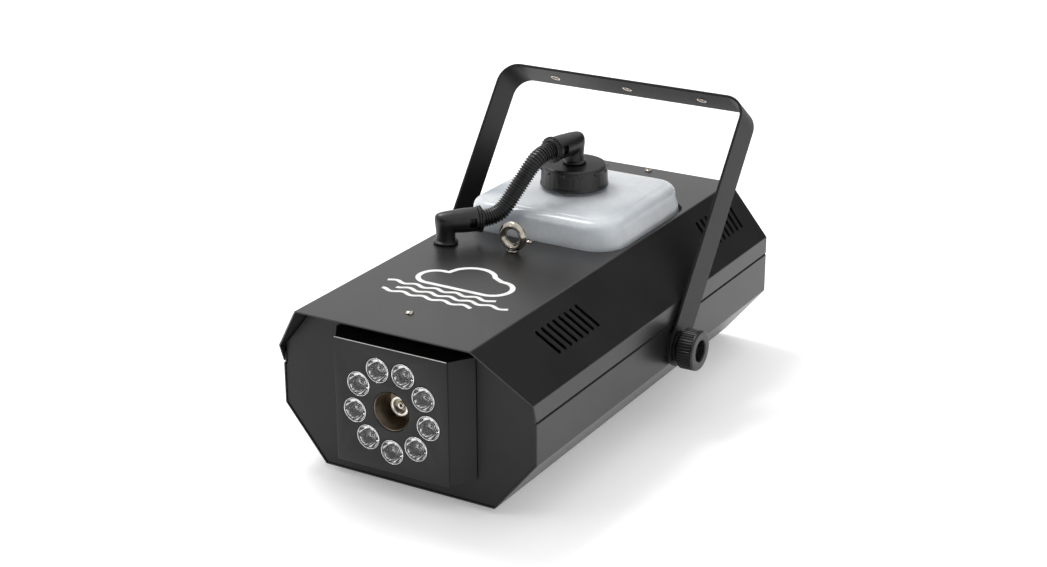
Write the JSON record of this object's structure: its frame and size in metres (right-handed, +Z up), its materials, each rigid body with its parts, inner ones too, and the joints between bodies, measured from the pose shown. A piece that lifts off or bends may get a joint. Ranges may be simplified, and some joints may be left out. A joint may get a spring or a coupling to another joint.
{
  "type": "fog machine",
  "caption": "Stage fog machine: elongated octagonal steel housing, ring of LED lenses round the nozzle, top fluid tank with a hose, and a tilting hanging yoke.",
  "frame": {"origin": "centre of the bounding box's base, on the floor under the middle of the housing", "axes": "+Z up, -Y the way the nozzle points, +X to the right seen from the front"},
  "size_m": [0.303, 0.4812, 0.2686],
  "materials": {
    "powder_coat": "fine satin black powder coat",
    "lens_coat": "satin dark grey coat",
    "lens": "clear moulded lens, polished",
    "board": "solder-masked circuit board",
    "aluminium": "bare cast and machined",
    "cup_metal": "heat-tinted steel",
    "nozzle_steel": "machined steel",
    "zinc_steel": "zinc-plated steel",
    "nickel": "nickel-plated steel",
    "hdpe": "milky translucent polyethylene",
    "moulding": "black moulded nylon",
    "conduit": "black corrugated nylon",
    "rubber": "black rubber",
    "clear_hose": "clear flexible hose",
    "pump_moulding": "dark grey moulding",
    "display": "smoked window",
    "rocker_red": "red translucent moulding"
  },
  "bodies": {
    "housing": {"base_tray": "powder_coat", "top_cover": "powder_coat", "front_panel": "powder_coat", "rear_panel": "powder_coat", "head_box": "powder_coat", "lens_plate": "lens_coat", "led_board": "board", "nozzle_cup": "cup_metal", "nozzle": "nozzle_steel", "heater_block": "aluminium", "heater_bracket": "zinc_steel", "thermostat": "moulding", "pump": "pump_moulding", "suction_tube": "clear_hose", "pressure_tube": "clear_hose", "control_board": "board", "power_supply": "aluminium", "tank_bay": "zinc_steel", "feed_hose": "conduit", "housing_elbow": "moulding", "hose_ring_housing": "moulding", "eye_bolt": "nickel", "cover_screw_front": "nickel", "cover_screw_middle": "nickel", "cover_screw_rear": "nickel", "friction_disc_right": "rubber", "friction_disc_left": "rubber", "foot_1": "rubber", "foot_2": "rubber", "foot_3": "rubber", "foot_4": "rubber", "power_inlet": "moulding", "dmx_in": "moulding", "dmx_out": "moulding", "display_module": "display", "led_lens_1": "lens", "led_lens_2": "lens", "led_lens_3": "lens", "led_lens_4": "lens", "led_lens_5": "lens", "led_lens_6": "lens", "led_lens_7": "lens", "led_lens_8": "lens", "led_lens_9": "lens"},
    "tank": {"fluid_tank": "hdpe", "pickup_tube": "clear_hose", "cap_elbow": "moulding", "hose_ring_cap": "moulding"},
    "cap": {"tank_cap": "moulding"},
    "yoke": {"yoke": "powder_coat"},
    "knob_right": {"knob_right": "moulding"},
    "knob_left": {"knob_left": "moulding"},
    "washer_right": {"knob_washer_right": "zinc_steel"},
    "washer_left": {"knob_washer_left": "zinc_steel"},
    "fuse_drawer": {"fuse_drawer": "moulding"},
    "rocker": {"power_rocker": "rocker_red"},
    "button_1": {"menu_button_1": "rubber"},
    "button_2": {"menu_button_2": "rubber"},
    "button_3": {"menu_button_3": "rubber"},
    "button_4": {"menu_button_4": "rubber"}
  },
  "joints": [
    {"name": "yoke_tilt", "type": "hinge", "parent": "housing", "child": "yoke", "pos_m": [0, 0.04, 0.0701], "axis": [1, 0, 0], "range_deg": [-60, 95]},
    {"name": "knob_right_travel", "type": "slide", "parent": "housing", "child": "washer_right", "axis": [1, 0, 0], "range_m": [0, 0.00125]},
    {"name": "knob_right_turn", "type": "hinge", "parent": "washer_right", "child": "knob_right", "pos_m": [0.14, 0.04, 0.0701], "axis": [1, 0, 0], "range_deg": [0, 360]},
    {"name": "knob_left_travel", "type": "slide", "parent": "housing", "child": "washer_left", "axis": [-1, 0, 0], "range_m": [0, 0.00125]},
    {"name": "knob_left_turn", "type": "hinge", "parent": "washer_left", "child": "knob_left", "pos_m": [-0.14, 0.04, 0.0701], "axis": [-1, 0, 0], "range_deg": [0, 360]},
    {"name": "tank_lift", "type": "slide", "parent": "housing", "child": "tank", "axis": [0, 0, 1], "range_m": [0, 0.012], "deforming": ["feed_hose"]},
    {"name": "cap_turn", "type": "hinge", "parent": "tank", "child": "cap", "pos_m": [0, 0.0794, 0.201], "axis": [0, 0, 1], "range_deg": [0, 270]},
    {"name": "rocker_tilt", "type": "hinge", "parent": "housing", "child": "rocker", "pos_m": [0.062, 0.2331, 0.095], "axis": [1, 0, 0], "range_deg": [-20, 0]},
    {"name": "fuse_drawer_slide", "type": "slide", "parent": "housing", "child": "fuse_drawer", "axis": [0, 1, 0], "range_m": [0, 0.012]},
    {"name": "button_1_press", "type": "slide", "parent": "housing", "child": "button_1", "axis": [0, -1, 0], "range_m": [0, 0.0015], "stiffness_N_per_m": 300},
    {"name": "button_2_press", "type": "slide", "parent": "housing", "child": "button_2", "axis": [0, -1, 0], "range_m": [0, 0.0015], "stiffness_N_per_m": 300},
    {"name": "button_3_press", "type": "slide", "parent": "housing", "child": "button_3", "axis": [0, -1, 0], "range_m": [0, 0.0015], "stiffness_N_per_m": 300},
    {"name": "button_4_press", "type": "slide", "parent": "housing", "child": "button_4", "axis": [0, -1, 0], "range_m": [0, 0.0015], "stiffness_N_per_m": 300}
  ],
  "couplings": [
    {"joint": "knob_right_turn", "follows": "knob_right_travel", "rad_per_m": 5026.5},
    {"joint": "knob_left_turn", "follows": "knob_left_travel", "rad_per_m": 5026.5}
  ]
}
